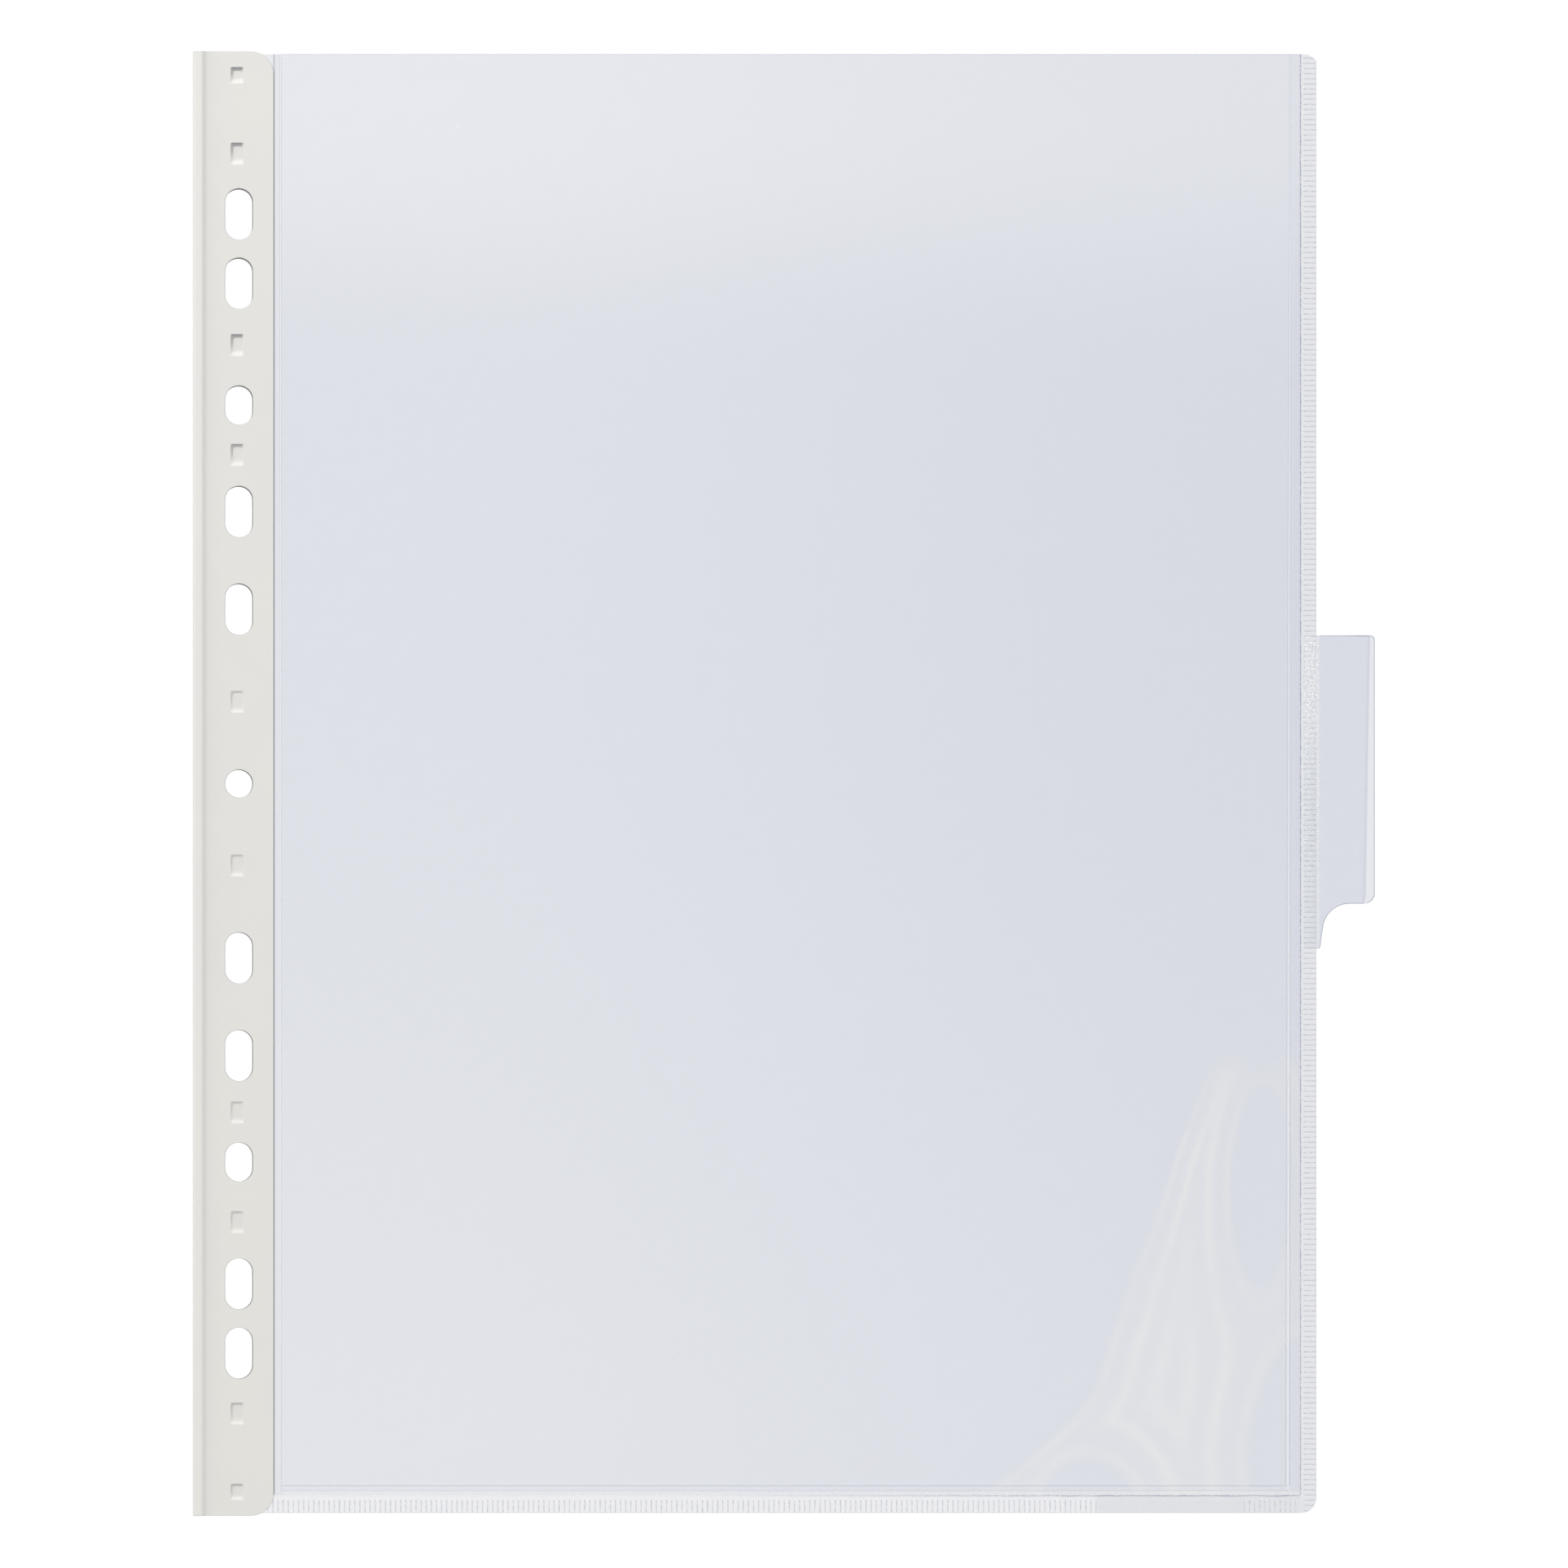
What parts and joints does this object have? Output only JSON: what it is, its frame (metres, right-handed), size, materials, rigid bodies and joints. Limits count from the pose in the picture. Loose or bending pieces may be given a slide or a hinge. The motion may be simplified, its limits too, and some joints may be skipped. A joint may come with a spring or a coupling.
{
  "type": "document display panel",
  "caption": "Flat clear document pocket, open at the top, with a punched metal filing strip folded over its spine edge and a folded index tab on its free edge.",
  "frame": {"origin": "middle of the bounding box, on the surface that the panel lies on", "axes": "+X from the spine to the index tab, +Y up the page to the pocket's mouth, +Z out of the front"},
  "size_m": [0.2544, 0.315, 0.0024],
  "materials": {
    "painted_steel": "ivory enamel, satin",
    "clear_film": "clear, smooth and glossy",
    "welded_film": "clear, pressed by the welding tool"
  },
  "bodies": {
    "strip": {"filing_strip": "painted_steel", "front_film_margin": "clear_film", "rear_film_margin": "clear_film"},
    "panel": {"fold_seam": "welded_film", "front_film": "clear_film", "rear_film": "clear_film", "side_weld": "welded_film", "bottom_weld": "welded_film", "tab_front_leaf": "clear_film", "tab_rear_leaf": "clear_film", "tab_fold": "welded_film", "tab_lap": "welded_film"}
  },
  "joints": [
    {"name": "panel_fold", "type": "hinge", "parent": "strip", "child": "panel", "pos_m": [-0.10877, 0, 0.0012], "axis": [0, -1, 0], "range_deg": [-120, 120]}
  ]
}
